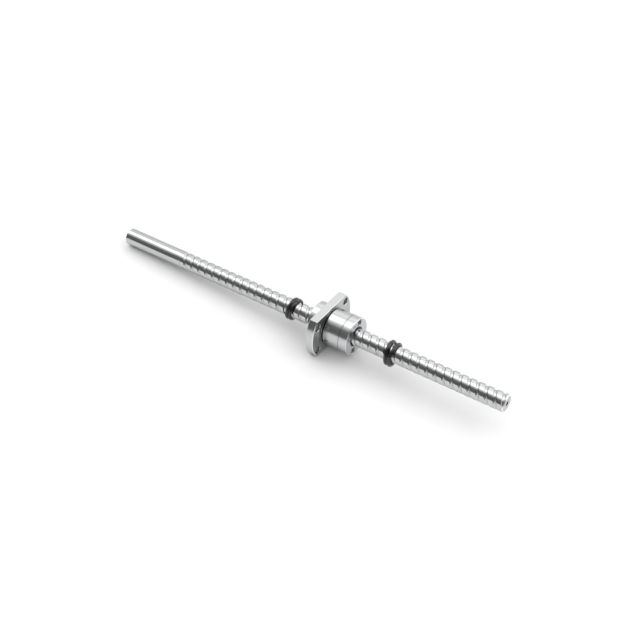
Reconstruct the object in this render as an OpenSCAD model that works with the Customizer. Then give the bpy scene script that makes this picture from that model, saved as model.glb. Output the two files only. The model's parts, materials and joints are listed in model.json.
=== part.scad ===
// Miniature ball screw assembly.
//
// A double-start, right-hand screw runs through a flanged nut. Two circuits of balls carry the
// load between the grooves of screw and nut. At each end of the nut a cap lifts the balls out
// of the groove and turns them into a return hole that runs back through the nut body. Rubber
// rings on the screw stop the nut from running off it.
//
// X runs along the screw. The origin is the centre of the flange's mounting face, which looks
// towards +X. Z is square to the flange's two flats. Angles about X run from +Y towards +Z.

/* [Screw shaft] */
// Outside diameter of the screw, thread and plain end alike
screw_d = 7.9; // [7.84:0.02:7.96]
// Advance of the nut for one turn of the screw
lead = 8; // [7.9:0.05:8.1]
// Angle about X at which a groove crosses the mounting face
groove_phase = 101.5; // [97:0.5:106]
// From the mounting face back to the plain end of the screw
rear_reach = 114.6; // [90:0.2:200]
// From the mounting face forward to the threaded end of the screw
front_reach = 85.4; // [40:0.2:100]
// Length of the plain end, which is left for machining a journal
plain_l = 32.8; // [10:0.2:60]
// Chamfer at both ends of the screw
screw_chamfer = 0.6; // [0.2:0.1:1]
// Diameter of the centre hole in the threaded end
centre_hole_d = 1.6; // [1:0.1:2]
// Depth of the centre hole
centre_hole_l = 3; // [1:0.5:5]

/* [Nut] */
// Diameter of the nut body and its end caps
nut_d = 17; // [17:0.1:18]
// Thickness of the flange
flange_t = 3.8; // [3:0.1:5]
// Length of the nut body in front of the mounting face
body_l = 8.6; // [8:0.1:9]
// Diameter of the flange
flange_d = 30; // [29:0.5:34]
// Distance across the two flats of the flange
flange_flats = 19.5; // [18:0.1:24]
// Diameter of the circle through the bolt holes
bolt_circle_d = 25; // [23:0.5:26]
// Angle of each bolt hole from the flange's long axis
bolt_angle = 30; // [25:1:32]
// Diameter of the bolt holes
bolt_hole_d = 3.4; // [2.8:0.1:3.6]
// Chamfer on the edges of the flange
flange_chamfer = 0.25; // [0.1:0.05:0.5]
// Width of the grinding relief between the flange and the body
relief_w = 0.9; // [0.5:0.1:1.5]
// Depth of the grinding relief, in the body and in the mounting face
relief_depth = 0.2; // [0.1:0.05:0.4]
// Clearance between the screw's outside and the land of the nut's bore
land_gap = 0.45; // [0.3:0.05:0.5]

/* [Balls] */
// Diameter of a ball
ball_d = 1.5875; // [1.5:0.0125:1.5875]
// Diameter of the circle through the centres of the loaded balls
ball_circle_d = 8.4; // [8.3:0.02:8.4]
// Extra radius of the screw's groove over the ball
screw_groove_gap = 0.032; // [0.03:0.002:0.05]
// Extra radius of the nut's raceway over the ball
nut_groove_gap = 0.08; // [0.07:0.005:0.1]
// Spacing of the loaded balls along the groove
loaded_spacing = 1.64; // [1.63:0.01:1.8]
// Spacing of the balls in the return path
return_spacing = 1.78; // [1.76:0.01:1.9]

/* [End caps and return path] */
// Thickness of each end cap
cap_t = 4.1; // [4:0.1:5]
// Chamfer on the outer edge of each end cap
cap_chamfer = 0.2; // [0.1:0.05:0.4]
// Radius of the circle through the two return holes
return_r = 6.6; // [6.5:0.05:6.7]
// Diameter of the return holes and turning channels
channel_d = 1.84; // [1.8:0.01:1.88]
// How far past the nut body's end the balls stay in the screw's groove
lift_off = 0.45; // [0.4:0.05:0.5]
// Straight run of the channel that lifts a ball clear of the screw
lift_run = 2.2; // [2.1:0.05:2.4]

/* [Cap screws and wipers] */
// Radius of the circle through the two cap screws
cap_screw_r = 6.6; // [6.5:0.05:6.7]
// Angle of the first front cap screw about X
cap_screw_angle = 69; // [65:1:75]
// Thread diameter of the cap screws
cap_screw_d = 1.6; // [1.4:0.1:1.6]
// Head diameter of the cap screws
cap_head_d = 2.8; // [2.6:0.1:2.9]
// Head height of the cap screws
cap_head_t = 1.4; // [1.2:0.1:1.5]
// Length of the cap screws under the head
cap_screw_l = 5.5; // [4:0.5:6]
// Width of the hexagon socket across its corners
socket_d = 1.62; // [1.5:0.02:1.8]
// Depth of the hexagon socket
socket_l = 0.77; // [0.6:0.01:1]
// Outside diameter of the wipers
wiper_d = 9.5; // [9.3:0.1:9.6]
// Thickness of the wipers
wiper_t = 0.9; // [0.6:0.1:1]

/* [Stop rings] */
// Thickness of the rings' rubber cord, from the bore outwards
cord_t = 1.2; // [1:0.05:1.3]
// Width of the cord along the screw
cord_w = 1.6; // [1.3:0.05:1.6]
// Inside diameter of the two rear rings, which sit close on the screw
rear_ring_bore = 8.04; // [8.04:0.02:8.2]
// Place along X of the rear ring next to the nut
rear_ring_x = -19.1; // [-24:0.1:-19.1]
// Spacing of the two rear rings
rear_ring_pitch = 1.63; // [1.63:0.01:3]
// Lean of the two rear rings about Y
rear_ring_lean = 6; // [-6:0.5:6]
// Inside diameter of the two front rings, which hang loose
front_ring_bore = 9; // [9:0.05:9.4]
// Place along X of the front ring next to the nut
front_ring_x = 29.8; // [29.8:0.1:36]
// Spacing of the two front rings
front_ring_pitch = 2.35; // [2.35:0.05:4]
// How far the front rings hang off the screw's axis
front_ring_sag = 0.5; // [0:0.02:0.5]
// Side to which the outer front ring has swung, as an angle about X
front_outer_swing = 230; // [230:1:310]
// Lean of the inner front ring about Y and Z
front_inner_lean = [-1, 5.5]; // [-6:0.5:6]
// Lean of the outer front ring about Y and Z
front_outer_lean = [5.5, 1]; // [-6:0.5:6]

/* [Hidden] */
$fn = 96;
screw_r = screw_d / 2;
nut_r = nut_d / 2;
ball_r = ball_d / 2;
track_r = ball_circle_d / 2;
screw_groove_r = ball_r + screw_groove_gap;
nut_groove_r = ball_r + nut_groove_gap;
land_r = screw_r + land_gap;
channel_r = channel_d / 2;
lead_angle = atan(lead / (PI * ball_circle_d));
thread_start = plain_l - rear_reach;
body_rear = -flange_t;
front_face = body_l + cap_t;
nut_middle = (body_l + body_rear) / 2;
cut = 1;              // overrun of a cut past the face it opens
slip = 0.02;          // gap between pieces that slide together on the bench
starts = [0, 180];    // the two grooves, half a turn apart
straight_down = 270;

// The loaded part of a circuit, and the half angle that is left for each turn into the cap
lift_x = body_l + lift_off;
loaded_angle = 720 * (lift_x - nut_middle) / lead;
turn_angle = (720 - loaded_angle) / 2;
return_angle = groove_angle(lift_x) + turn_angle;
turn_length = norm([PI * ball_circle_d, lead]);
mouth_depth = 0.3;    // from the nut body's end to the end of the curve
lift_pull = 1.5;      // reach of the curve along the groove's direction
mouth_pull = 1.9;     // reach of the curve along the return hole
turn_steps = 12;

// Facets of the helical surfaces
screw_slices_per_turn = 12;
nut_slices_per_turn = 36;
screw_groove_steps = 6;
nut_groove_steps = 8;
land_steps = 4;
channel_sides = 10;
approach_steps = 7;   // stations of a channel before the balls lift off
side_share = 0.7;     // place in the turn of the radius that squares the channel's sides

// Cap screw seats
head_seat_d = cap_head_d + 0.3;
head_seat_l = cap_head_t + 0.4;
head_chamfer = 0.15;
shank_gap = 0.1;      // between a cap screw and its hole through the cap
tapped_l = 4.2;

// Wiper seat and lip, and the bore of the caps
wiper_inset = 0.3;
wiper_bore_r = screw_r + 0.06;
wiper_lip = 0.35;
cap_bore_r = screw_r + 0.35;
hole_flare = 0.4;     // from the centre hole's wall out to its countersink's rim

// The block that guides the balls round the inside of the turn
guide_t = 1.15;
guide_inner_r = 5.1;
guide_outer_r = 7.5;
guide_lead_in = 34;
guide_lead_out = 22;

// ---- Helix and return path -------------------------------------------------------------

// Angle about X of the first groove at the station x
function groove_angle(x) = groove_phase + 360 * x / lead;

// A point at radius r and angle a about X
function around(x, r, a) = [x, r * cos(a), r * sin(a)];

function unit(v) = v / norm(v);

// Direction of the groove at angle a about X
function groove_direction(a) =
    [sin(lead_angle), -cos(lead_angle) * sin(a), cos(lead_angle) * cos(a)];

function bezier(p, t) =
    pow(1 - t, 3) * p[0] + 3 * pow(1 - t, 2) * t * p[1]
    + 3 * (1 - t) * t * t * p[2] + pow(t, 3) * p[3];

// Path of the ball centres from the end of the nut body, through the front cap, to the
// mouth of the return hole
function front_turn(start) =
    let (
        a = groove_angle(lift_x) + start,
        lift = around(lift_x, track_r, a),
        clear = lift + lift_run * groove_direction(a),
        mouth = around(body_l + mouth_depth, return_r, return_angle + start),
        corners = [clear, clear + lift_pull * groove_direction(a), mouth + [mouth_pull, 0, 0],
                   mouth]
    )
    concat([lift], [for (i = [0:turn_steps]) bezier(corners, i / turn_steps)]);

// The same path on the way into the groove at the rear: half a turn about the axis that
// runs square to X through the middle of the nut and the return hole
function rear_point(p) =
    let (
        c = cos(2 * return_angle),
        s = sin(2 * return_angle)
    )
    [2 * nut_middle - p[0], c * p[1] + s * p[2], s * p[1] - c * p[2]];

function reversed(list) = [for (i = [len(list) - 1:-1:0]) list[i]];

function return_path(start) =
    let (front = front_turn(start))
    concat(front, reversed([for (p = front) rear_point(p)]));

function path_length(path, i = 0) =
    i > len(path) - 2 ? 0 : norm(path[i + 1] - path[i]) + path_length(path, i + 1);

function point_along(path, s, i = 0) =
    let (piece = path[i + 1] - path[i], l = norm(piece))
    s <= l || i > len(path) - 3 ? path[i] + piece * s / l : point_along(path, s - l, i + 1);

// ---- Shared shapes ---------------------------------------------------------------------

// Stands a shape that is drawn along Z along X, with its own X on Y
module along_x() rotate([90, 0, 90]) children();

module rod(x0, x1, r) translate([x0, 0, 0]) along_x() cylinder(h = x1 - x0, r = r);

module turned(profile) along_x() rotate_extrude() polygon(profile);

// Carries a front part of the nut to the matching place at the rear
module rear_twin()
    translate([nut_middle, 0, 0])
        rotate([return_angle, 0, 0])
            rotate([0, 180, 0])
                rotate([-return_angle, 0, 0])
                    translate([-nut_middle, 0, 0])
                        children();

// One groove in section: outward is 1 for the nut's raceway and -1 for the screw's groove
function groove_section(centre, r, edge_r, outward, steps) =
    let (half = acos(outward * (edge_r - track_r) / r))
    [for (i = [0:steps])
        let (
            b = half * (2 * i / steps - 1),
            a = centre + r * sin(b) / (track_r * sin(lead_angle)) * 180 / PI,
            radius = track_r + outward * r * cos(b)
        )
        [radius * cos(a), radius * sin(a)]];

// Half the angle that a groove takes at its edge
function groove_half_angle(r, edge_r) =
    let (b = acos(abs(edge_r - track_r) / r))
    r * sin(b) / (track_r * sin(lead_angle)) * 180 / PI;

// Section of a round bar or bore with both grooves
function grooved_section(r, edge_r, outward, steps) =
    let (half = groove_half_angle(r, edge_r))
    [for (start = starts)
        each concat(
            groove_section(start, r, edge_r, outward, steps),
            [for (i = [1:land_steps - 1])
                let (a = start + half + (180 - 2 * half) * i / land_steps)
                edge_r * [cos(a), sin(a)]])];

// A grooved section wound along the lead from x0 to x1
module wound(section, x0, x1, slices_per_turn)
    translate([x0, 0, 0])
        rotate([groove_angle(x0), 0, 0])
            along_x()
                linear_extrude(
                    height = x1 - x0,
                    twist = -360 * (x1 - x0) / lead,
                    slices = ceil((x1 - x0) / lead * slices_per_turn),
                    segments = len(section))
                    polygon(section);

// Ring of points about a path point, square to the path
function channel_ring(path, i, side) =
    let (
        ahead = unit(path[min(i + 1, len(path) - 1)] - path[max(i - 1, 0)]),
        n1 = unit(cross(ahead, side)),
        n2 = cross(ahead, n1)
    )
    [for (k = [0:channel_sides - 1])
        let (a = 360 * k / channel_sides)
        path[i] + channel_r * (cos(a) * n1 + sin(a) * n2)];

// The channel that the balls take through the front cap
module front_channel(start) {
    a = groove_angle(lift_x) + start;
    turn = front_turn(start);
    approach = [for (i = [approach_steps:-1:1])
        let (back = lift_off * i / 2)
        around(lift_x - back, track_r, a - 360 * back / lead)];
    path = concat(approach, turn, [turn[len(turn) - 1] - [cut, 0, 0]]);
    side = around(0, 1, a + turn_angle * side_share);
    n = channel_sides;
    last = len(path) - 1;
    polyhedron(
        points = [for (i = [0:last]) each channel_ring(path, i, side)],
        faces = concat(
            [[for (k = [0:n - 1]) k]],
            [for (i = [0:last - 1]) for (k = [0:n - 1]) each [
                [i * n + k, (i + 1) * n + k, (i + 1) * n + (k + 1) % n],
                [i * n + k, (i + 1) * n + (k + 1) % n, i * n + (k + 1) % n]]],
            [[for (k = [n - 1:-1:0]) last * n + k]]));
}

// A block of a ring between two angles, from x0 to x1
module ring_block(x0, x1, r0, r1, a0, a1)
    translate([x0, 0, 0])
        rotate([a0, 0, 0])
            along_x()
                rotate_extrude(angle = a1 - a0)
                    translate([r0, 0])
                        square([r1 - r0, x1 - x0]);

module guide_block(start, gap) {
    a = groove_angle(lift_x) + start;
    slack = gap / guide_inner_r * 180 / PI;
    ring_block(
        body_l + (gap > 0 ? -cut : 0), body_l + guide_t + gap,
        guide_inner_r - gap, guide_outer_r + gap,
        a + guide_lead_in - slack, return_angle + start + guide_lead_out + slack);
}

// ---- The screw -------------------------------------------------------------------------

module screw_shaft() {
    section = grooved_section(screw_groove_r, screw_r - slip / 2, -1, screw_groove_steps);
    color([0.80, 0.81, 0.82])
        difference() {
            union() {
                wound(section, thread_start - cut, front_reach, screw_slices_per_turn);
                rod(-rear_reach, thread_start, screw_r);
            }
            for (end = [[-rear_reach, 1], [front_reach, -1]])
                translate([end[0], 0, 0])
                    mirror([end[1] < 0 ? 1 : 0, 0, 0])
                        turned([
                            [screw_r - screw_chamfer, 0], [screw_r - screw_chamfer, -cut],
                            [screw_r + cut, -cut], [screw_r + cut, screw_chamfer],
                            [screw_r, screw_chamfer]]);
            rod(front_reach - centre_hole_l, front_reach + cut, centre_hole_d / 2);
            translate([front_reach, 0, 0])
                turned([
                    [0, cut], [centre_hole_d / 2 + hole_flare + cut, cut],
                    [0, -centre_hole_d / 2 - hole_flare]]);
        }
}

// ---- The nut ---------------------------------------------------------------------------

module nut_body() {
    flange_r = flange_d / 2;
    c = flange_chamfer;
    outline = [
        [0, body_rear], [flange_r - c, body_rear], [flange_r, body_rear + c],
        [flange_r, -c], [flange_r - c, 0],
        [nut_r + relief_depth, 0], [nut_r, -relief_depth], [nut_r - relief_depth, -relief_depth],
        [nut_r - relief_depth, relief_w], [nut_r, relief_w],
        [nut_r, body_l], [0, body_l]];
    section = grooved_section(nut_groove_r, land_r - slip, 1, nut_groove_steps);
    color([0.72, 0.73, 0.74])
        difference() {
            intersection() {
                turned(outline);
                translate([body_rear - cut, -flange_d, -flange_flats / 2])
                    cube([flange_t + body_l + 2 * cut, 2 * flange_d, flange_flats]);
            }
            rod(body_rear - cut, body_l + cut, land_r);
            wound(section, body_rear - cut, body_l + cut, nut_slices_per_turn);
            for (side = [0, 180], tilt = [-bolt_angle, bolt_angle])
                rotate([side + tilt, 0, 0])
                    translate([0, bolt_circle_d / 2, 0])
                        rod(body_rear - cut, cut, bolt_hole_d / 2);
            for (start = starts)
                rotate([return_angle + start, 0, 0])
                    translate([0, return_r, 0])
                        rod(body_rear - cut, body_l + cut, channel_r);
            front_tapped_holes();
            rear_twin() front_tapped_holes();
        }
}

module at_cap_screw(start)
    rotate([cap_screw_angle + start, 0, 0])
        translate([0, cap_screw_r, 0])
            children();

module front_tapped_holes()
    for (start = starts)
        at_cap_screw(start)
            rod(body_l - tapped_l, body_l + cut, cap_screw_d / 2 + slip);

// ---- The end caps and what they hold ---------------------------------------------------

module front_cap_solid()
    difference() {
        turned([
            [0, body_l], [nut_r, body_l], [nut_r, front_face - cap_chamfer],
            [nut_r - cap_chamfer, front_face], [0, front_face]]);
        rod(body_l - cut, front_face + cut, cap_bore_r);
        rod(front_face - wiper_inset - wiper_t, front_face + cut, wiper_d / 2 + slip);
        for (start = starts) {
            at_cap_screw(start) {
                rod(body_l - cut, front_face + cut, cap_screw_d / 2 + shank_gap);
                rod(front_face - head_seat_l, front_face + cut, head_seat_d / 2);
            }
            guide_block(start, slip);
            front_channel(start);
        }
    }

module front_end_cap() color([0.74, 0.75, 0.76]) front_cap_solid();

module rear_end_cap() color([0.74, 0.75, 0.76]) rear_twin() front_cap_solid();

module return_guide_solid(start)
    difference() {
        guide_block(start, 0);
        front_channel(start);
    }

module front_return_guide_1() color([0.85, 0.84, 0.78]) return_guide_solid(0);

module front_return_guide_2() color([0.85, 0.84, 0.78]) return_guide_solid(180);

module rear_return_guide_1() color([0.85, 0.84, 0.78]) rear_twin() return_guide_solid(0);

module rear_return_guide_2() color([0.85, 0.84, 0.78]) rear_twin() return_guide_solid(180);

module wiper_solid() {
    outer = front_face - wiper_inset;
    turned([
        [wiper_bore_r, outer - wiper_lip], [wiper_bore_r, outer - wiper_t],
        [wiper_d / 2, outer - wiper_t], [wiper_d / 2, outer],
        [wiper_bore_r + wiper_lip, outer]]);
}

module front_wiper() color([0.16, 0.16, 0.17]) wiper_solid();

module rear_wiper() color([0.16, 0.16, 0.17]) rear_twin() wiper_solid();

module cap_screw_solid(start)
    at_cap_screw(start)
        translate([front_face - head_seat_l, 0, 0])
            difference() {
                turned([
                    [0, -cap_screw_l], [cap_screw_d / 2, -cap_screw_l], [cap_screw_d / 2, 0],
                    [cap_head_d / 2, 0], [cap_head_d / 2, cap_head_t - head_chamfer],
                    [cap_head_d / 2 - head_chamfer, cap_head_t], [0, cap_head_t]]);
                translate([cap_head_t - socket_l, 0, 0])
                    along_x() cylinder(h = socket_l + cut, d = socket_d, $fn = 6);
            }

module front_cap_screw_1() color([0.55, 0.56, 0.57]) cap_screw_solid(0);

module front_cap_screw_2() color([0.55, 0.56, 0.57]) cap_screw_solid(180);

module rear_cap_screw_1() color([0.55, 0.56, 0.57]) rear_twin() cap_screw_solid(0);

module rear_cap_screw_2() color([0.55, 0.56, 0.57]) rear_twin() cap_screw_solid(180);

// ---- The balls -------------------------------------------------------------------------

module loaded_ball_row(start) {
    count = floor(loaded_angle / 360 * turn_length / loaded_spacing);
    for (i = [0:count - 1]) {
        a = groove_angle(lift_x) + start - loaded_angle * (i + 0.5) / count;
        x = lift_x - lead * loaded_angle / 360 * (i + 0.5) / count;
        translate(around(x, track_r, a)) sphere(r = ball_r);
    }
}

module return_ball_row(start) {
    path = return_path(start);
    l = path_length(path);
    count = floor(l / return_spacing);
    for (i = [0:count - 1])
        translate(point_along(path, l * (i + 0.5) / count)) sphere(r = ball_r);
}

module loaded_balls_1() color([0.88, 0.88, 0.90]) loaded_ball_row(0);

module loaded_balls_2() color([0.88, 0.88, 0.90]) loaded_ball_row(180);

module return_balls_1() color([0.88, 0.88, 0.90]) return_ball_row(0);

module return_balls_2() color([0.88, 0.88, 0.90]) return_ball_row(180);

// ---- The stop rings --------------------------------------------------------------------

// A ring at x that hangs off the axis by sag, towards the angle swing about X
module stop_ring(x, bore, lean, sag, swing)
    color([0.10, 0.10, 0.11])
        translate(around(x, sag, swing))
            rotate([0, lean[0], lean[1]])
                along_x()
                    rotate_extrude()
                        translate([(bore + cord_t) / 2, 0])
                            scale([1, cord_w / cord_t])
                                circle(d = cord_t);

module rear_stop_ring_outer()
    stop_ring(rear_ring_x - rear_ring_pitch, rear_ring_bore, [rear_ring_lean, 0], 0, 0);

module rear_stop_ring_inner()
    stop_ring(rear_ring_x, rear_ring_bore, [rear_ring_lean, 0], 0, 0);

module front_stop_ring_inner()
    stop_ring(front_ring_x, front_ring_bore, front_inner_lean, front_ring_sag, straight_down);

module front_stop_ring_outer()
    stop_ring(front_ring_x + front_ring_pitch, front_ring_bore, front_outer_lean,
        front_ring_sag, front_outer_swing);

screw_shaft();
nut_body();
front_end_cap();
rear_end_cap();
front_return_guide_1();
front_return_guide_2();
rear_return_guide_1();
rear_return_guide_2();
front_wiper();
rear_wiper();
front_cap_screw_1();
front_cap_screw_2();
rear_cap_screw_1();
rear_cap_screw_2();
loaded_balls_1();
loaded_balls_2();
return_balls_1();
return_balls_2();
rear_stop_ring_outer();
rear_stop_ring_inner();
front_stop_ring_inner();
front_stop_ring_outer();
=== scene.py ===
"""Looks of the miniature ball screw: polished screw, ground nut, rubber rings, on a pale floor.

The CAD frame gives every place and size. X runs along the screw and Z is square to the flange's
flats. Lengths are in metres; MM turns millimetres into them.
"""

import json
import math

import bmesh
import bpy
from mathutils import Matrix, Vector


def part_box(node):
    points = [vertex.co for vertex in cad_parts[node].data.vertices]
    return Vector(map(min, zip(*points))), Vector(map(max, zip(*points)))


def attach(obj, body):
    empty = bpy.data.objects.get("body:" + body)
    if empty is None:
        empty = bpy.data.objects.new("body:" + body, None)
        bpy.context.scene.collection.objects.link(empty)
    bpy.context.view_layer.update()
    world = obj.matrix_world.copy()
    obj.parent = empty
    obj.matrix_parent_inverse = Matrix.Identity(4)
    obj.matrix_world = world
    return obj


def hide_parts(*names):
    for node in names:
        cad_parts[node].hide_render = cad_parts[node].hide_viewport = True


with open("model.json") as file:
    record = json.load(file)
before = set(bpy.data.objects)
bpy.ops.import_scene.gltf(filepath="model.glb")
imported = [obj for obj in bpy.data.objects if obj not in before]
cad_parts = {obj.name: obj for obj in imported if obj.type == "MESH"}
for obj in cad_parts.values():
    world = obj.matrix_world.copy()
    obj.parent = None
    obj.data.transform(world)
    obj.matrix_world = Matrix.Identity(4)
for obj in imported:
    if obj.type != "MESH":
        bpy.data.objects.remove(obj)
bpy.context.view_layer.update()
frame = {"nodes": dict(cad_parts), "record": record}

MM = 0.001

# ---- Sizes from the frame ----------------------------------------------------------------

MOUNTS = {m["name"]: m for m in frame["record"]["mounts"]}
LEAD = frame["record"]["behaviour"]["couplings"][0]["ratio"] * 2 * math.pi
SCREW_R = MOUNTS["plain_end"]["dims"]["r_mm"] * MM
PLAIN_MIDDLE = MOUNTS["plain_end"]["pos_m"][0]
THREAD_START = PLAIN_MIDDLE + MOUNTS["plain_end"]["dims"]["length_mm"] * MM / 2
NUT_R = MOUNTS["nut_pilot"]["dims"]["r_mm"] * MM
BOLT_HOLE_R = MOUNTS["flange_bolts"]["dims"]["hole_r_mm"] * MM
BOLT_Y = MOUNTS["flange_bolts"]["dims"]["spacing_x_mm"] * MM / 2
BOLT_Z = MOUNTS["flange_bolts"]["dims"]["spacing_y_mm"] * MM / 2
SCREW_LO, SCREW_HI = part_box("screw_shaft")
NUT_LO, NUT_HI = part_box("nut_body")

# ---- Details that the frame doesn't state ------------------------------------------------

# The screw. RUN_OUT is the reach of the grooves past the thread's start, where they rise out of
# the steel. CENTRE_HOLE is a list of (radius, depth).
GROOVE_PHASE = math.radians(101.5)
BALL_CIRCLE_R = 4.2 * MM
GROOVE_R = 0.826 * MM
GROOVE_EDGE = 0.05 * MM
RUN_OUT = 1.5 * MM
GROOVE_START = THREAD_START - RUN_OUT
SCREW_CHAMFER = 0.6 * MM
PLAIN_CHAMFER = 0.6 * MM
HOLE_MOUTH_R = 1.15 * MM
CENTRE_HOLE = [(HOLE_MOUTH_R, 0.0), (0.75 * MM, 0.4 * MM), (0.75 * MM, 2.6 * MM), (0.02 * MM, 2.9 * MM)]

# The nut body. FACE_STEP is the distance on the flange's face from the relief's shoulder to the
# next ring of points.
NUT_BORE_R = 4.4 * MM
RELIEF_DEPTH = 0.2 * MM
RELIEF_W = 0.9 * MM
FACE_STEP = 1.0 * MM
RIM_CHAMFER = 0.25 * MM
FLAT_EDGE = 0.2 * MM
FLANGE_CORNER = 0.08 * MM
FINE_FILLET = 0.05 * MM
RELIEF_FILLET = 0.06 * MM
BODY_FILLET = 0.08 * MM
SEAM_FILLET = 0.18 * MM

# The end caps.
CAP_BORE_R = 4.3 * MM
CAP_FILLET = 0.3 * MM
SEAT_DEPTH = 1.8 * MM
SEAT_R = 1.55 * MM
SHANK_HOLE_R = 0.9 * MM
WIPER_SEAT_DEPTH = 1.2 * MM
WIPER_GAP = 0.02 * MM
WIPER_SEAT_FILLET = 0.1 * MM
SCREW_HEAD_EDGE = 0.05 * MM

# Cut holes. The flares are the chamfers at their mouths, and a cutter reaches OVER past a face.
HOLE_FLARE = 0.12 * MM
SEAT_FLARE = 0.06 * MM
OVER = 0.3 * MM

# The stop rings: node, bore radius, and lean in degrees about Y, then Z.
REAR_BORE_R = 4.02 * MM
FRONT_BORE_R = 4.5 * MM
STOP_RINGS = [
    ("rear_stop_ring_outer", REAR_BORE_R, 6, 0),
    ("rear_stop_ring_inner", REAR_BORE_R, 6, 0),
    ("front_stop_ring_inner", FRONT_BORE_R, -1, 5.5),
    ("front_stop_ring_outer", FRONT_BORE_R, 5.5, 1),
]
CORD_T = 1.2 * MM
CORD_W = 1.6 * MM
FLASH_HEIGHT = 0.03 * MM
FLASH_HALF_ANGLE = 0.2

# ---- Fineness of the meshes --------------------------------------------------------------

GROOVE_STEPS = 14
LAND_STEPS = 16
PLAIN_STATIONS = 8
STATIONS_PER_TURN = 40
CHAMFER_STEPS = 3
RIM_STEPS = 36
FLAT_STEPS = 28
FLAT_EDGE_STEPS = 3
FLANGE_CORNER_STEPS = 3
CAP_SEGMENTS = 160
BOLT_HOLE_SEGMENTS = 64
CAP_HOLE_SEGMENTS = 48
CORD_STEPS = (160, 36)
THREAD_CREASE = 32
NUT_CREASE = 40

# ---- Mesh helpers ------------------------------------------------------------------------


def add_object(name, verts, faces, body, material, stands_for):
    """A mesh piece in the row frame that rides on a CAD body and stands for one CAD node."""
    mesh = bpy.data.meshes.new(name)
    mesh.from_pydata(verts, [], faces)
    mesh.validate()
    obj = bpy.data.objects.new(name, mesh)
    bpy.context.scene.collection.objects.link(obj)
    tidy_normals(obj)
    mesh.materials.append(material)
    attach(obj, body)
    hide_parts(stands_for)
    return obj


def tidy_normals(obj):
    """Turns every face of a closed mesh outwards."""
    bm = bmesh.new()
    bm.from_mesh(obj.data)
    bmesh.ops.recalc_face_normals(bm, faces=bm.faces)
    bm.to_mesh(obj.data)
    bm.free()


def smooth(obj, angle):
    """Smooth shading, with a crease where faces meet at more than angle degrees."""
    obj.data.shade_smooth()
    obj.data.set_sharp_from_angle(angle=math.radians(angle))


def apply_modifiers(obj):
    """Leaves the evaluated mesh as the object's own, with no modifiers."""
    graph = bpy.context.evaluated_depsgraph_get()
    mesh = bpy.data.meshes.new_from_object(obj.evaluated_get(graph))
    obj.modifiers.clear()
    obj.data = mesh


def filleted(corners, steps=4):
    """A closed outline of ((u, v), radius) corners, each rounded by its own radius."""
    out = []
    n = len(corners)
    for i, (point, radius) in enumerate(corners):
        p = Vector(point)
        if not radius:
            out.append(tuple(p))
            continue
        a = (Vector(corners[i - 1][0]) - p).normalized()
        b = (Vector(corners[(i + 1) % n][0]) - p).normalized()
        half = math.acos(max(-1.0, min(1.0, a.dot(b)))) / 2
        reach = radius / math.tan(half)
        centre = p + (a + b).normalized() * radius / math.sin(half)
        start = p + a * reach - centre
        end = p + b * reach - centre
        sweep = start.angle_signed(end)
        for k in range(steps + 1):
            turn = Matrix.Rotation(-sweep * k / steps, 2)
            out.append(tuple(centre + turn @ start))
    return out


def band(a, b, n):
    """Quads between two closed rings of n points, which start at the indices a and b."""
    return [(a + i, a + (i + 1) % n, b + (i + 1) % n, b + i) for i in range(n)]


def lathe(profile, segments):
    """Vertices and faces of a closed (x, r) profile turned about X."""
    verts = []
    faces = []
    n = len(profile)
    for s in range(segments):
        a = 2 * math.pi * s / segments
        verts += [(x, r * math.cos(a), r * math.sin(a)) for x, r in profile]
        faces += band(s * n, (s + 1) % segments * n, n)
    return verts, faces


def cutter(verts, faces):
    """A solid that carve cuts out of a piece."""
    mesh = bpy.data.meshes.new("cutter")
    mesh.from_pydata(verts, [], faces)
    obj = bpy.data.objects.new("cutter", mesh)
    bpy.context.scene.collection.objects.link(obj)
    tidy_normals(obj)
    return obj


def turned_cutter(profile, y, z, segments):
    """A cutter of (x, r) points turned about the line through y and z."""
    verts = []
    for x, r in profile:
        for s in range(segments):
            a = 2 * math.pi * s / segments
            verts.append((x, y + r * math.cos(a), z + r * math.sin(a)))
    last = (len(profile) - 1) * segments
    faces = [tuple(range(segments)), tuple(range(last + segments - 1, last - 1, -1))]
    for k in range(len(profile) - 1):
        faces += band(k * segments, (k + 1) * segments, segments)
    return cutter(verts, faces)


def carve(obj, cutters):
    """Cuts each cutter out of obj and removes it."""
    for tool in cutters:
        cut = obj.modifiers.new("cut", "BOOLEAN")
        cut.operation = "DIFFERENCE"
        cut.solver = "EXACT"
        cut.object = tool
        apply_modifiers(obj)
        bpy.data.objects.remove(tool)


def flat_normals(obj):
    """Smooth shading that keeps the large faces flat and the sharp edges sharp."""
    smooth(obj, NUT_CREASE)
    weighted = obj.modifiers.new("normals", "WEIGHTED_NORMAL")
    weighted.keep_sharp = True
    apply_modifiers(obj)


# ---- Materials ---------------------------------------------------------------------------


def feed(tree, value, target):
    """Sets an input to a number or a colour, or links it to an output."""
    if isinstance(value, tuple):
        target.default_value = (*value, 1.0)
    elif isinstance(value, (int, float)):
        target.default_value = value
    else:
        tree.links.new(value, target)


def math_node(tree, operation, *values):
    node = tree.nodes.new("ShaderNodeMath")
    node.operation = operation
    for value, target in zip(values, node.inputs):
        feed(tree, value, target)
    return node.outputs[0]


def mix_node(tree, factor, a, b):
    """Mixes two colours, each a tuple or an output."""
    node = tree.nodes.new("ShaderNodeMix")
    node.data_type = "RGBA"
    feed(tree, factor, node.inputs["Factor"])
    feed(tree, a, node.inputs[6])
    feed(tree, b, node.inputs[7])
    return node.outputs[2]


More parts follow.
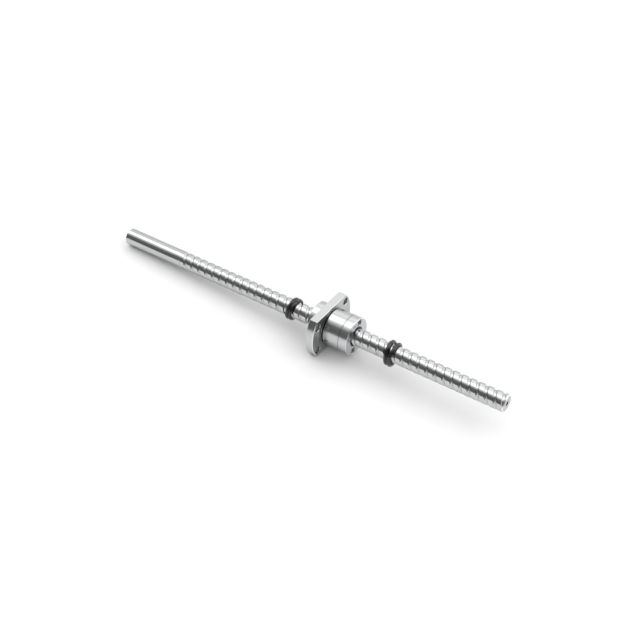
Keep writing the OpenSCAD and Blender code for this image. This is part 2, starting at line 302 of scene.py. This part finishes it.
class Nodes:
    """Short calls for building one node material."""

    def __init__(self, name):
        self.material = bpy.data.materials.new(name)
        self.material.use_nodes = True
        self.tree = self.material.node_tree
        self.tree.nodes.clear()
        output = self.tree.nodes.new("ShaderNodeOutputMaterial")
        self.shader = self.tree.nodes.new("ShaderNodeBsdfPrincipled")
        self.link(self.shader.outputs[0], output.inputs[0])
        self.place = self.tree.nodes.new("ShaderNodeTexCoord").outputs["Object"]

    def link(self, source, target):
        self.tree.links.new(source, target)

    def math(self, operation, *values):
        return math_node(self.tree, operation, *values)

    def axes(self):
        node = self.tree.nodes.new("ShaderNodeSeparateXYZ")
        self.link(self.place, node.inputs[0])
        return node.outputs[0], node.outputs[1], node.outputs[2]

    def radius(self):
        """Distance from the screw's axis."""
        _, y, z = self.axes()
        squares = self.math("MULTIPLY_ADD", z, z, self.math("MULTIPLY", y, y))
        return self.math("SQRT", squares)

    def noise(self, scale, detail, rough=0.55, along=None):
        """Noise in space, or in one number only, along."""
        node = self.tree.nodes.new("ShaderNodeTexNoise")
        node.noise_dimensions = "1D" if along else "3D"
        node.inputs["Scale"].default_value = scale
        node.inputs["Detail"].default_value = detail
        node.inputs["Roughness"].default_value = rough
        if along:
            self.link(along, node.inputs["W"])
        else:
            self.link(self.place, node.inputs["Vector"])
        return node.outputs["Fac"]

    def span(self, value, low, high, to_low, to_high):
        """Maps a range to another one and clamps it."""
        node = self.tree.nodes.new("ShaderNodeMapRange")
        node.clamp = True
        for number, target in zip((value, low, high, to_low, to_high), node.inputs):
            feed(self.tree, number, target)
        return node.outputs[0]

    def mix(self, factor, a, b):
        return mix_node(self.tree, factor, a, b)

    def bump(self, height, strength, distance):
        node = self.tree.nodes.new("ShaderNodeBump")
        node.inputs["Strength"].default_value = strength
        node.inputs["Distance"].default_value = distance
        self.link(height, node.inputs["Height"])
        return node.outputs[0]

    def near(self, value, centre, half_width, soft):
        """1 where value lies within half_width of centre, with a soft edge."""
        away = self.math("ABSOLUTE", self.math("SUBTRACT", value, centre))
        return self.span(away, half_width, half_width + soft, 1.0, 0.0)

    def facing(self):
        """How far a face looks along the screw, 0 to 1."""
        node = self.tree.nodes.new("ShaderNodeSeparateXYZ")
        self.link(self.tree.nodes.new("ShaderNodeTexCoord").outputs["Normal"], node.inputs[0])
        return self.math("ABSOLUTE", node.outputs[0])

    def end_faces(self):
        """1 on faces that look along the screw."""
        return self.span(self.facing(), 0.85, 0.97, 0.0, 1.0)

    def highlight_edges(self):
        """1 on chamfers and rounded edges, which are painted with a highlight."""
        return self.near(self.facing(), 0.62, 0.22, 0.08)

    def seam(self, x, place):
        """1 in a fine ring where two pieces meet at place on the axis, for the painted shade in the seam.
        """
        return self.near(x, place, 0.06 * MM, 0.08 * MM)

    def in_bolt_holes(self):
        """1 on the walls of the flange's four holes."""
        _, y, z = self.axes()
        dy = self.math("SUBTRACT", self.math("ABSOLUTE", y), BOLT_Y)
        dz = self.math("SUBTRACT", self.math("ABSOLUTE", z), BOLT_Z)
        squares = self.math("MULTIPLY_ADD", dz, dz, self.math("MULTIPLY", dy, dy))
        return self.span(self.math("SQRT", squares), BOLT_HOLE_R, BOLT_HOLE_R + 0.05 * MM, 1.0, 0.0)

    def set(self, **inputs):
        """Feeds inputs of the shader, and gives the material."""
        for name, value in inputs.items():
            feed(self.tree, value, self.shader.inputs[name.replace("_", " ")])
        return self.material


def lathe_grain(n, scale):
    """Fine lines that run round the axis, on cylinders and end faces alike."""
    x, _, _ = n.axes()
    along = n.math("ADD", x, n.radius())
    return n.noise(scale, 4.0, 0.7, along)


def polished_screw():
    """Polished lands, grooves a little darker and rougher, a turned end with a painted highlight on its
    chamfer, and painted shade in the centre hole.
    """
    n = Nodes("polished_screw_steel")
    x, _, _ = n.axes()
    depth = n.math("SUBTRACT", SCREW_R, n.radius())
    on_end = n.span(x, SCREW_HI.x - 0.02 * MM, SCREW_HI.x - 0.005 * MM, 0.0, 1.0)
    in_groove = n.math("SUBTRACT", n.span(depth, 0.04 * MM, 0.25 * MM, 0.0, 1.0), on_end)
    # Painted shade: inside the centre hole's mouth, on the threaded end only, the steel is painted near
    # black.
    hole_shade = n.span(n.radius(), HOLE_MOUTH_R - 0.1 * MM, HOLE_MOUTH_R, 1.0, 0.0)
    hole_shade = n.math("MULTIPLY", hole_shade, n.math("GREATER_THAN", x, 0.0))
    # Painted highlight: the threaded end's chamfer is painted much lighter than the lands.
    chamfer = n.span(x, SCREW_HI.x - SCREW_CHAMFER, SCREW_HI.x - 0.9 * SCREW_CHAMFER, 0.0, 1.0)
    chamfer = n.math("SUBTRACT", chamfer, on_end)
    grain = lathe_grain(n, 5200.0)
    smear = n.noise(140.0, 3.0)
    colour = n.mix(smear, (0.575, 0.58, 0.585), (0.625, 0.63, 0.635))
    # The grooves are painted a little darker than the lands.
    groove_colour = n.mix(smear, (0.52, 0.525, 0.53), (0.60, 0.605, 0.61))
    colour = n.mix(in_groove, colour, groove_colour)
    colour = n.mix(chamfer, colour, (0.85, 0.85, 0.85))
    colour = n.mix(hole_shade, colour, (0.02, 0.02, 0.02))
    land_rough = n.span(grain, 0.3, 0.7, 0.08, 0.13)
    groove_rough = n.span(smear, 0.3, 0.7, 0.14, 0.22)
    rough = n.math("MULTIPLY_ADD", in_groove, n.math("SUBTRACT", groove_rough, land_rough), land_rough)
    rough = n.math("MAXIMUM", rough, n.math("MULTIPLY", chamfer, 0.35))
    normal = n.bump(grain, 0.06, 0.02 * MM)
    n.set(Specular_Tint=(0.75, 0.75, 0.75), Metallic=1.0, Anisotropic=0.3)
    return n.set(Base_Color=colour, Roughness=rough, Normal=normal)


def ground_steel(name, dark, light, grain_scale, shade_and_dulling):
    """Ground steel, coarser on its flat faces, with a painted highlight on chamfers and rounded edges. The
    last argument gives the places painted darker: painted shade in the relief and seams, and on the nut its
    bolt holes and duller end faces.
    """
    n = Nodes(name)
    _, _, z = n.axes()
    grain = lathe_grain(n, grain_scale)
    coarse = lathe_grain(n, grain_scale / 6)
    smear = n.noise(170.0, 3.0)
    colour = n.mix(n.math("MULTIPLY_ADD", smear, 0.6, n.math("MULTIPLY", coarse, 0.4)), dark, light)
    flats = n.span(n.math("ABSOLUTE", z), NUT_HI.z - 0.1 * MM, NUT_HI.z - 0.02 * MM, 0.0, 1.0)
    colour = n.mix(flats, colour, (0.62, 0.625, 0.63))
    # Painted highlight: chamfers and rounded edges are painted nearly white.
    edge_highlighted = n.mix(n.highlight_edges(), colour, (0.90, 0.90, 0.90))
    shade_and_dull_mask = shade_and_dulling(n)
    plane = n.math("MAXIMUM", flats, n.end_faces())
    lines = n.math("MULTIPLY_ADD", coarse, 0.5, n.math("MULTIPLY", grain, 0.5))
    round_rough = n.span(lines, 0.3, 0.7, 0.17, 0.25)
    plane_rough = n.span(lines, 0.3, 0.7, 0.27, 0.36)
    rough = n.math("MULTIPLY_ADD", plane, n.math("SUBTRACT", plane_rough, round_rough), round_rough)
    n.set(Specular_Tint=(0.75, 0.75, 0.75), Metallic=1.0, Anisotropic=0.3)
    n.set(Normal=n.bump(lines, 0.08, 0.02 * MM), Roughness=rough)
    # Painted shade, darker hole walls and duller faces, as the last argument marks them, are mixed towards
    # near black.
    return n.set(Base_Color=n.mix(shade_and_dull_mask, edge_highlighted, (0.05, 0.05, 0.05)))


def nut_shade_and_dull_faces(n):
    """Painted shade in the grinding relief and at the front cap's seam, and weaker darkening on the bolt
    holes' walls and the duller end faces.
    """
    x, _, _ = n.axes()
    low = n.span(n.radius(), NUT_R - 0.08 * MM, NUT_R + 0.1 * MM, 1.0, 0.0)
    # Painted shade in the relief's undercut.
    relief = n.math("MULTIPLY", low, n.near(x, RELIEF_W / 2, RELIEF_W * 0.4, 0.1 * MM))
    holes = n.math("MULTIPLY", n.in_bolt_holes(), 0.35)
    dull = n.math("MULTIPLY", n.end_faces(), 0.14)
    places = n.math("MAXIMUM", relief, holes)
    # Painted shade at the front cap's seam.
    return n.math("MAXIMUM", places, n.math("MAXIMUM", n.seam(x, NUT_HI.x), dull))


def cap_seam_shade(n):
    """Painted shade in the seams with the nut body."""
    x, _, _ = n.axes()
    return n.math("MAXIMUM", n.seam(x, NUT_HI.x), n.seam(x, NUT_LO.x))


def ball_steel():
    """Lapped balls with a film of oil."""
    n = Nodes("ball_steel")
    film = n.noise(900.0, 2.0)
    colour = n.mix(film, (0.80, 0.80, 0.82), (0.88, 0.88, 0.90))
    rough = n.span(film, 0.3, 0.7, 0.04, 0.09)
    return n.set(Base_Color=colour, Metallic=1.0, Roughness=rough, Normal=n.bump(film, 0.02, 0.01 * MM))


def fastener_steel():
    """Plain, darker stainless steel."""
    n = Nodes("fastener_steel")
    grain = n.noise(3200.0, 3.0)
    colour = n.mix(grain, (0.30, 0.30, 0.31), (0.46, 0.46, 0.47))
    rough = n.span(grain, 0.3, 0.7, 0.28, 0.42)
    return n.set(Base_Color=colour, Metallic=1.0, Roughness=rough, Normal=n.bump(grain, 0.15, 0.02 * MM))


def nitrile_rubber():
    """Black, glossy rubber with a faint bloom."""
    n = Nodes("nitrile_rubber")
    grain = n.noise(5200.0, 4.0, 0.6)
    bloom = n.noise(420.0, 3.0)
    colour = n.mix(n.span(bloom, 0.45, 0.7, 0.0, 1.0), (0.004, 0.004, 0.0045), (0.011, 0.011, 0.012))
    rough = n.span(bloom, 0.3, 0.7, 0.06, 0.12)
    n.set(Specular_IOR_Level=0.7, Normal=n.bump(grain, 0.06, 0.03 * MM))
    return n.set(Base_Color=colour, Roughness=rough)


def moulded(name, dark, light, low, high):
    """Moulded resin or rubber with a fine grain."""
    n = Nodes(name)
    grain = n.noise(3600.0, 4.0, 0.6)
    tone = n.noise(300.0, 2.0)
    rough = n.span(tone, 0.3, 0.7, low, high)
    return n.set(Base_Color=n.mix(tone, dark, light), Roughness=rough, Normal=n.bump(grain, 0.2, 0.03 * MM))


SCREW_STEEL = polished_screw()
NUT_STEEL = ground_steel("nut_steel", (0.55, 0.555, 0.56), (0.62, 0.625, 0.63), 2600.0, nut_shade_and_dull_faces)
CAP_STEEL = ground_steel("cap_steel", (0.57, 0.575, 0.58), (0.65, 0.655, 0.66), 3000.0, cap_seam_shade)
FASTENER = fastener_steel()
BALLS = ball_steel()
RUBBER = nitrile_rubber()
WIPER = moulded("wiper_rubber", (0.060, 0.060, 0.062), (0.110, 0.110, 0.113), 0.45, 0.6)
RESIN = moulded("guide_resin", (0.70, 0.68, 0.60), (0.80, 0.78, 0.70), 0.35, 0.5)

# ---- The screw ---------------------------------------------------------------------------


def groove_section():
    """(angle, radius) points round the screw for both grooves, from one groove's edge on."""
    slope = math.sin(math.atan(LEAD / (2 * math.pi * BALL_CIRCLE_R)))
    half = math.acos((BALL_CIRCLE_R - SCREW_R) / GROOVE_R)

    def turn(b):
        return GROOVE_R * math.sin(b) / (BALL_CIRCLE_R * slope)

    soft = GROOVE_EDGE / GROOVE_R
    groove = []
    for i in range(GROOVE_STEPS + 1):
        b = (half - soft) * (2 * i / GROOVE_STEPS - 1)
        groove.append((turn(b), BALL_CIRCLE_R - GROOVE_R * math.cos(b)))
    corner_angle = turn(half)
    corner_r = SCREW_R - GROOVE_EDGE * 0.3
    land_from = corner_angle + GROOVE_EDGE / SCREW_R / slope
    land_width = math.pi - 2 * land_from
    land = [(land_from + land_width * i / LAND_STEPS, SCREW_R) for i in range(LAND_STEPS + 1)]
    one = [(-corner_angle, corner_r)] + groove + [(corner_angle, corner_r)] + land
    return one + [(a + math.pi, r) for a, r in one]


def screw_stations():
    """X of each ring of points: few on the plain end, many on the thread."""
    plain_from = SCREW_LO.x + PLAIN_CHAMFER
    plain = GROOVE_START - plain_from
    thread = SCREW_HI.x - SCREW_CHAMFER - GROOVE_START
    stations = round(thread / LEAD * STATIONS_PER_TURN)
    xs = [SCREW_LO.x, plain_from]
    xs += [plain_from + plain * i / PLAIN_STATIONS for i in range(1, PLAIN_STATIONS)]
    xs += [GROOVE_START + thread * i / stations for i in range(stations)]
    xs += [SCREW_HI.x - SCREW_CHAMFER * (1 - i / CHAMFER_STEPS) for i in range(CHAMFER_STEPS + 1)]
    return xs


def section_turn(x):
    """Angle of the grooves at x. It stands still on the plain end."""
    return GROOVE_PHASE + 2 * math.pi * max(x, GROOVE_START) / LEAD


def screw_ring(section, x):
    """Points round the screw at x, where the grooves run out and the ends are chamfered."""
    lift = max(0.0, 1 - (x - GROOVE_START) / (2 * RUN_OUT))
    rise = GROOVE_R * lift * lift
    limit = min(SCREW_R, SCREW_R - SCREW_CHAMFER + (SCREW_HI.x - x))
    limit = min(limit, SCREW_R - PLAIN_CHAMFER + (x - SCREW_LO.x))
    base = section_turn(x)
    ring = []
    for angle, radius in section:
        r = min(radius + rise, limit)
        ring.append((x, r * math.cos(base + angle), r * math.sin(base + angle)))
    return ring


def centre_hole_ring(section, radius, depth):
    """Points round the centre hole, in step with the points round the thread."""
    base = section_turn(SCREW_HI.x)
    return [
        (SCREW_HI.x - depth, radius * math.cos(base + angle), radius * math.sin(base + angle))
        for angle, _ in section
    ]


def screw_shaft():
    section = groove_section()
    n = len(section)
    rings = [screw_ring(section, x) for x in screw_stations()]
    rings += [centre_hole_ring(section, radius, depth) for radius, depth in CENTRE_HOLE]
    verts = [p for ring in rings for p in ring]
    faces = [tuple(range(n))]
    for k in range(len(rings) - 1):
        faces += band(k * n, (k + 1) * n, n)
    faces.append(tuple(range(len(verts) - n, len(verts))))
    obj = add_object(
        "screw_shaft_ground", verts, faces, "screw", SCREW_STEEL, "screw_shaft"
    )
    smooth(obj, THREAD_CREASE)


# ---- The nut -----------------------------------------------------------------------------


def flange_outline(rim_inset, flat_inset):
    """(y, z) points round the flange: two arcs of its rim and two flats, with softened corners."""
    r = NUT_HI.y - rim_inset
    z = NUT_HI.z - flat_inset
    corner = math.asin(z / r)
    corners = []
    for turn, side in ((0.0, 1), (math.pi, -1)):
        for i in range(RIM_STEPS + 1):
            a = turn + corner * (2 * i / RIM_STEPS - 1)
            fillet = FLANGE_CORNER if i in (0, RIM_STEPS) else 0
            corners.append(((r * math.cos(a), r * math.sin(a)), fillet))
        for i in range(1, FLAT_STEPS):
            a = corner + (math.pi - 2 * corner) * i / FLAT_STEPS
            corners.append(((side * z / math.tan(a), side * z), 0))
    return filleted(corners, FLANGE_CORNER_STEPS)


def flange_rim():
    """Loops of the flange's edge from rear to front, rounded at the flats, chamfered at the rim."""
    edge = []
    for i in range(FLAT_EDGE_STEPS + 1):
        a = i * math.pi / 2 / FLAT_EDGE_STEPS
        edge.append((FLAT_EDGE * (1 - math.cos(a)), FLAT_EDGE * (1 - math.sin(a))))
    edge.append((RIM_CHAMFER, 0.0))
    rear = [(NUT_LO.x + x, flange_outline(RIM_CHAMFER - x, inset)) for x, inset in edge]
    front = [(-x, flange_outline(RIM_CHAMFER - x, inset)) for x, inset in reversed(edge)]
    return rear + front


def nut_rings():
    """Rings of points from the rear face, over the flange, the relief and the body, to the bore."""
    turns = [math.atan2(z, y) for y, z in flange_outline(0, 0)]
    relief_r = NUT_R - RELIEF_DEPTH
    shoulder_r = NUT_R + RELIEF_DEPTH
    profile = filleted([
        ((0.0, shoulder_r + FACE_STEP), 0),
        ((0.0, shoulder_r), FINE_FILLET),
        ((-RELIEF_DEPTH, NUT_R), 0),
        ((-RELIEF_DEPTH, relief_r), FINE_FILLET),
        ((RELIEF_W, relief_r), RELIEF_FILLET),
        ((RELIEF_W, NUT_R), BODY_FILLET),
        ((NUT_HI.x, NUT_R), SEAM_FILLET),
        ((NUT_HI.x, NUT_BORE_R), 0),
        ((NUT_LO.x, NUT_BORE_R), 0),
    ])
    rings = [[(x, y, z) for y, z in loop] for x, loop in flange_rim()]
    for x, r in profile:
        rings.append([(x, r * math.cos(a), r * math.sin(a)) for a in turns])
    return rings


def nut_body():
    rings = nut_rings()
    n = len(rings[0])
    verts = [p for ring in rings for p in ring]
    faces = []
    for k in range(len(rings)):
        faces += band(k * n, (k + 1) % len(rings) * n, n)
    obj = add_object("nut_body_ground", verts, faces, "nut", NUT_STEEL, "nut_body")
    bolt_hole = [
        (NUT_LO.x - OVER, BOLT_HOLE_R + HOLE_FLARE + OVER),
        (NUT_LO.x + HOLE_FLARE, BOLT_HOLE_R),
        (-HOLE_FLARE, BOLT_HOLE_R),
        (OVER, BOLT_HOLE_R + HOLE_FLARE + OVER),
    ]
    places = [(y, z) for y in (-BOLT_Y, BOLT_Y) for z in (-BOLT_Z, BOLT_Z)]
    carve(obj, [turned_cutter(bolt_hole, y, z, BOLT_HOLE_SEGMENTS) for y, z in places])
    flat_normals(obj)


def cap_hole_cutters(screw, inner, outer, outward):
    """The seat for a cap screw's head and the hole for its shank."""
    lo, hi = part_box(screw)
    y, z = (lo.y + hi.y) / 2, (lo.z + hi.z) / 2
    seat = [
        (outer - outward * SEAT_DEPTH, SEAT_R),
        (outer - outward * SEAT_FLARE, SEAT_R),
        (outer + outward * OVER, SEAT_R + SEAT_FLARE + OVER),
    ]
    through = [(inner - outward * OVER, SHANK_HOLE_R), (outer + outward * OVER, SHANK_HOLE_R)]
    return [turned_cutter(profile, y, z, CAP_HOLE_SEGMENTS) for profile in (seat, through)]


def end_cap(side, outward):
    """An end cap with its wiper seat and screw seats. outward is 1 for the front, -1 for the rear."""
    node = side + "_end_cap"
    lo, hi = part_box(node)
    inner, outer = (lo.x, hi.x) if outward > 0 else (hi.x, lo.x)
    wiper_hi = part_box(side + "_wiper")[1]
    seat_r = wiper_hi.y + WIPER_GAP
    seat_x = outer - outward * WIPER_SEAT_DEPTH
    verts, faces = lathe(filleted([
        ((inner, CAP_BORE_R), 0),
        ((inner, NUT_R), SEAM_FILLET),
        ((outer, NUT_R), CAP_FILLET),
        ((outer, seat_r), WIPER_SEAT_FILLET),
        ((seat_x, seat_r), 0),
        ((seat_x, CAP_BORE_R), 0),
    ]), CAP_SEGMENTS)
    obj = add_object(node + "_turned", verts, faces, "nut", CAP_STEEL, node)
    for number in (1, 2):
        carve(obj, cap_hole_cutters(f"{side}_cap_screw_{number}", inner, outer, outward))
    flat_normals(obj)


# ---- The stop rings ----------------------------------------------------------------------


def cord_point(a, b, ring_r):
    """A point at the angle a round the ring and b round its cord, with the mould's flash line."""
    flash = FLASH_HEIGHT * max(0.0, 1 - abs(math.remainder(b, math.pi)) / FLASH_HALF_ANGLE)
    r = ring_r + (CORD_T / 2 + flash) * math.cos(b)
    return Vector(((CORD_W / 2) * math.sin(b), r * math.cos(a), r * math.sin(a)))


def stop_ring(node, bore_r, lean_y, lean_z):
    """A moulded ring of oval cord that leans by degrees about Y, then Z."""
    lo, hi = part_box(node)
    centre = (lo + hi) / 2
    around, across = CORD_STEPS
    ring_r = bore_r + CORD_T / 2
    lean = Matrix.Rotation(math.radians(lean_z), 3, "Z") @ Matrix.Rotation(math.radians(lean_y), 3, "Y")
    verts = []
    faces = []
    for i in range(around):
        a, b = i * across, (i + 1) % around * across
        for k in range(across):
            point = cord_point(2 * math.pi * i / around, 2 * math.pi * k / across, ring_r)
            verts.append(tuple(centre + lean @ point))
            k2 = (k + 1) % across
            faces.append((a + k, b + k, b + k2, a + k2))
    obj = add_object(node + "_moulded", verts, faces, "stop_rings", RUBBER, node)
    obj.data.shade_smooth()


screw_shaft()
nut_body()
end_cap("front", 1)
end_cap("rear", -1)
for node, bore_r, lean_y, lean_z in STOP_RINGS:
    stop_ring(node, bore_r, lean_y, lean_z)

# ---- CAD pieces that keep their shape and get a finish ------------------------------------

FINISH = {
    "cap_screw": FASTENER,
    "balls": BALLS,
    "wiper": WIPER,
    "return_guide": RESIN,
}


def soften_edges(obj):
    """A fine bevel on a cap screw's head and socket."""
    edge = obj.modifiers.new("edge", "BEVEL")
    edge.width = SCREW_HEAD_EDGE
    edge.segments = 2
    edge.limit_method = "ANGLE"
    edge.angle_limit = math.radians(50)


for name, obj in frame["nodes"].items():
    for key, material in FINISH.items():
        if key in name:
            obj.data.materials.clear()
            obj.data.materials.append(material)
    if "cap_screw" in name:
        soften_edges(obj)

# ---- The floor ---------------------------------------------------------------------------

FLOOR_HALF = 12.0
FLOOR_GAP = 0.02 * MM


def floor_material():
    """Seamless grey paper, faintly uneven."""
    n = Nodes("pale_floor")
    grain = n.noise(60.0, 3.0)
    colour = n.mix(grain, (0.493, 0.493, 0.493), (0.511, 0.511, 0.511))
    return n.set(Base_Color=colour, Roughness=0.4, Specular_IOR_Level=0.5)


def floor():
    """A pale floor under the flange's lower flat and the plain end, which both rest on it."""
    heel = Vector((NUT_LO.x, 0, NUT_LO.z))
    toe = Vector((SCREW_LO.x, 0, -SCREW_R))
    tilt = math.atan2(toe.z - heel.z, heel.x - toe.x)
    mesh = bpy.data.meshes.new("floor")
    corners = [(x * FLOOR_HALF, y * FLOOR_HALF, 0) for x, y in ((-1, -1), (1, -1), (1, 1), (-1, 1))]
    mesh.from_pydata(corners, [], [(0, 1, 2, 3)])
    mesh.materials.append(floor_material())
    obj = bpy.data.objects.new("floor", mesh)
    bpy.context.scene.collection.objects.link(obj)
    obj.rotation_euler = (0, tilt, 0)
    obj.location = heel - Vector((0, 0, FLOOR_GAP))


# ---- The light ---------------------------------------------------------------------------

# Each tent is a list of (degrees about X, brightness): 0 looks level at the wall behind the
# screw, 90 straight up and 180 level at the camera's side.
TENT = [
    (0, 0.72), (25, 0.88), (46, 1.02), (58, 0.88), (65, 0.70), (69, 1.95), (102, 1.95),
    (107, 0.95), (122, 0.55), (132, 0.18), (160, 0.14), (172, 0.14), (180, 0.20),
]
FRONT_TENT = [
    (0, 0.80), (25, 1.10), (36, 1.35), (55, 1.35), (64, 0.75), (69, 1.95), (104, 1.95),
    (109, 0.95), (122, 0.55), (132, 0.18), (160, 0.14), (172, 0.14), (180, 0.20),
]
BARE_TENT = [
    (0, 0.72), (46, 0.95), (90, 0.75), (120, 0.50), (130, 0.22), (160, 0.18), (180, 0.20),
]
TENT_PEAK = 1.95
# X of the directions between which one tent gives way to the next.
BARE_TO_TENT = (-0.97, -0.85)
TENT_TO_FRONT = (-0.48, -0.42)
# The tents turn by this many degrees, times the square of a direction's X past SKEW_FROM.
TENT_SKEW = 28
SKEW_FROM = -0.42
FILL_DISTANCE = 6.0
# Name, azimuth and elevation in degrees, and power in watts.
FILLS = [("left", 180, 35, 255), ("right", 0, 35, 255), ("front", -90, 45, 250), ("back", 90, 35, 165)]


def tent_ramp(tree, share, points):
    """A tent's brightness, as share runs from 0 to 1 over its half turn."""
    ramp = tree.nodes.new("ShaderNodeValToRGB")
    tree.links.new(share, ramp.inputs[0])
    stops = ramp.color_ramp.elements
    while len(stops) < len(points):
        stops.new(0.5)
    for stop, (degrees, level) in zip(stops, points):
        grey = level / TENT_PEAK
        stop.position = degrees / 180
        stop.color = (grey, grey, grey, 1)
    return ramp.outputs[0]


def smooth_step(tree, value, limits):
    """0 to 1 between two limits of value."""
    node = tree.nodes.new("ShaderNodeMapRange")
    node.interpolation_type = "SMOOTHSTEP"
    for number, target in zip((value, *limits), node.inputs):
        feed(tree, number, target)
    return node.outputs[0]


def studio_world():
    """A light tent: a bright panel overhead, pale walls behind and a dark side at the camera."""
    world = bpy.data.worlds.new("studio")
    bpy.context.scene.world = world
    world.use_nodes = True
    tree = world.node_tree
    tree.nodes.clear()
    split = tree.nodes.new("ShaderNodeSeparateXYZ")
    tree.links.new(tree.nodes.new("ShaderNodeTexCoord").outputs["Generated"], split.inputs[0])
    x, y, z = split.outputs
    share = math_node(tree, "DIVIDE", math_node(tree, "ARCTAN2", z, y), math.pi)
    past = math_node(tree, "MAXIMUM", math_node(tree, "ADD", x, -SKEW_FROM), 0.0)
    skew = math_node(tree, "MULTIPLY", math_node(tree, "POWER", past, 2.0), TENT_SKEW / 180)
    skewed = math_node(tree, "ADD", share, skew)
    back = tent_ramp(tree, skewed, TENT)
    front = tent_ramp(tree, skewed, FRONT_TENT)
    tent = mix_node(tree, smooth_step(tree, x, TENT_TO_FRONT), back, front)
    bare = tent_ramp(tree, share, BARE_TENT)
    tent = mix_node(tree, smooth_step(tree, x, BARE_TO_TENT), bare, tent)
    shader = tree.nodes.new("ShaderNodeBackground")
    feed(tree, tent, shader.inputs["Color"])
    feed(tree, TENT_PEAK, shader.inputs["Strength"])
    tree.links.new(shader.outputs[0], tree.nodes.new("ShaderNodeOutputWorld").inputs[0])


def direction(azimuth, elevation):
    """A unit vector for degrees of azimuth from X and of elevation above the level."""
    a, e = math.radians(azimuth), math.radians(elevation)
    return Vector((math.cos(a) * math.cos(e), math.sin(a) * math.cos(e), math.sin(e)))


def fill_light(name, azimuth, elevation, power):
    """A broad panel, as wide as it is far, that lifts the shadows and stays out of reflections."""
    data = bpy.data.lights.new(name, "AREA")
    data.shape = "SQUARE"
    data.size = FILL_DISTANCE
    data.energy = power
    obj = bpy.data.objects.new(name, data)
    towards = direction(azimuth, elevation)
    obj.location = FILL_DISTANCE * towards
    obj.rotation_euler = (-towards).to_track_quat("-Z", "Y").to_euler()
    obj.visible_glossy = False
    bpy.context.scene.collection.objects.link(obj)


# ---- The camera --------------------------------------------------------------------------

LENS = 68.48
SENSOR = 36.0
CLIP = (0.01, 20.0)
CAMERA_AZIMUTH = -56.28
CAMERA_ELEVATION = 40.90
CAMERA_ROLL = 0.4
CAMERA_DISTANCE = 532.4 * MM
CAMERA_TARGET = Vector((-6.3, 0.2, 0.0)) * MM


def camera():
    """A long lens, from the threaded end's side and well above the screw."""
    data = bpy.data.cameras.new("camera")
    data.lens = LENS
    data.sensor_width = SENSOR
    data.clip_start, data.clip_end = CLIP
    obj = bpy.data.objects.new("camera", data)
    back = direction(CAMERA_AZIMUTH, CAMERA_ELEVATION)
    obj.location = CAMERA_TARGET + back * CAMERA_DISTANCE
    aim = (-back).to_track_quat("-Z", "Y").to_matrix().to_4x4()
    obj.rotation_euler = (aim @ Matrix.Rotation(math.radians(CAMERA_ROLL), 4, "Z")).to_euler()
    bpy.context.scene.collection.objects.link(obj)
    bpy.context.scene.camera = obj


floor()
studio_world()
for side, azimuth, elevation, power in FILLS:
    fill_light("fill_" + side, azimuth, elevation, power)
camera()
bpy.context.scene.view_settings.view_transform = "Standard"
